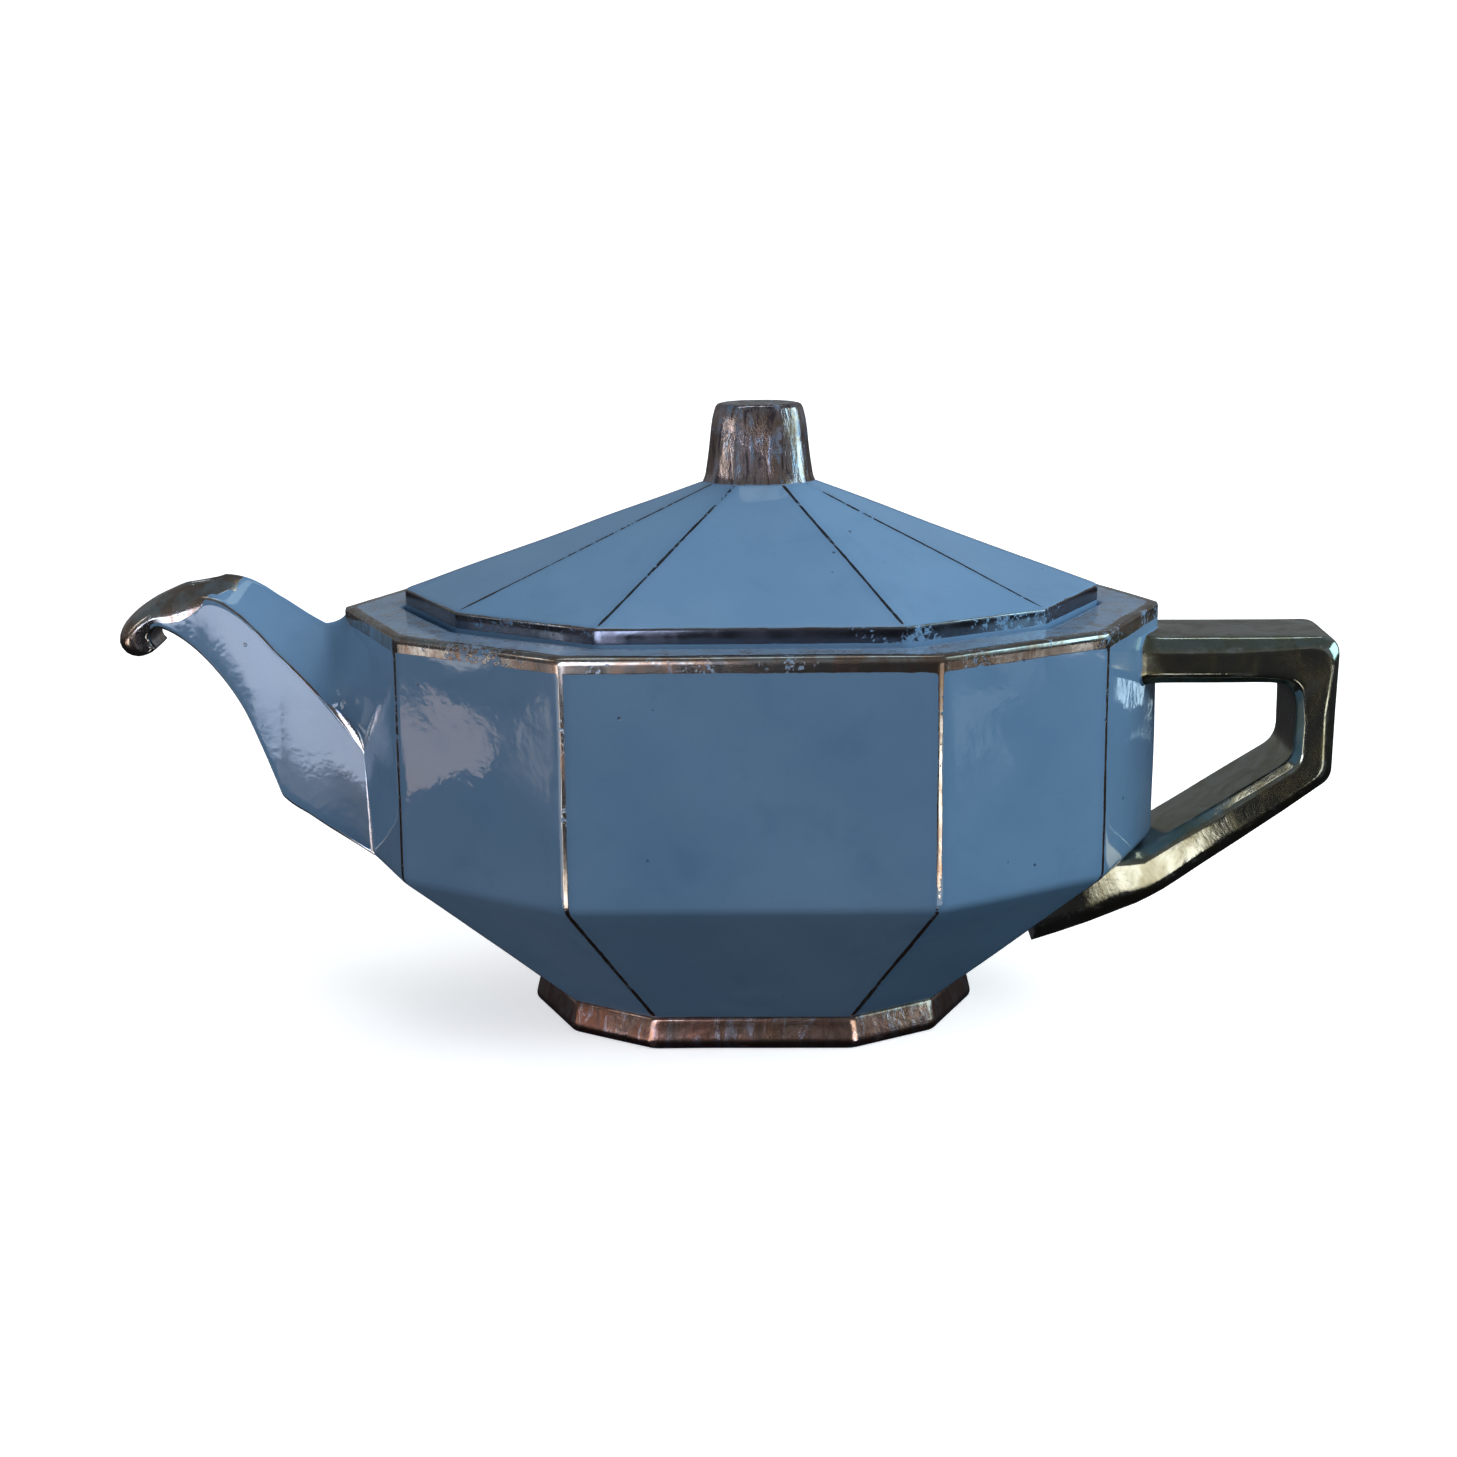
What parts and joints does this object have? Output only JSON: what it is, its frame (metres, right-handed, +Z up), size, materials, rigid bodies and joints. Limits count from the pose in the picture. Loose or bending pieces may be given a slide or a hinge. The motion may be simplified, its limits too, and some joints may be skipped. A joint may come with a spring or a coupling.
{
  "type": "teapot",
  "caption": "Faceted ten-sided pottery teapot with a short beaked spout, squared loop handle, pointed lift-off lid and metallic lustre trim, for brewing and pouring tea.",
  "frame": {"origin": "on the surface that the teapot stands on, under the middle of its overall length and width", "axes": "+Z up, +X towards the handle, -X towards the spout, +Y across the teapot, completing a right-handed frame"},
  "size_m": [0.2693, 0.114, 0.1365],
  "materials": {
    "body_glaze": "glossy slate-blue glaze with thin platinum-lustre lines along the edges",
    "rim_glaze": "glossy slate-blue glaze, platinum-lustre band round the outside",
    "foot_lustre": "platinum lustre over the glaze, mirror-like, worn on the corners",
    "spout_glaze": "glossy slate-blue glaze with platinum-lustre lines along the edges",
    "lip_lustre": "platinum lustre over the glaze, mirror-like",
    "handle_lustre": "platinum lustre over the glaze, mirror-like",
    "lid_glaze": "glossy slate-blue glaze with thin painted lustre lines on the ridges",
    "flange_glaze": "glazed, duller where it rubs on the pot's gallery",
    "knob_lustre": "platinum lustre over the glaze, mirror-like, worn on the corners"
  },
  "bodies": {
    "pot": {"body_shell": "body_glaze", "gallery_rim": "rim_glaze", "foot_ring": "foot_lustre", "spout": "spout_glaze", "spout_lip": "lip_lustre", "handle": "handle_lustre"},
    "lid": {"lid_cover": "lid_glaze", "lid_flange": "flange_glaze", "lid_knob": "knob_lustre"}
  },
  "joints": [
    {"name": "lid_lift", "type": "slide", "parent": "pot", "child": "lid", "axis": [0, 0, 1], "range_m": [0, 0.08]}
  ]
}
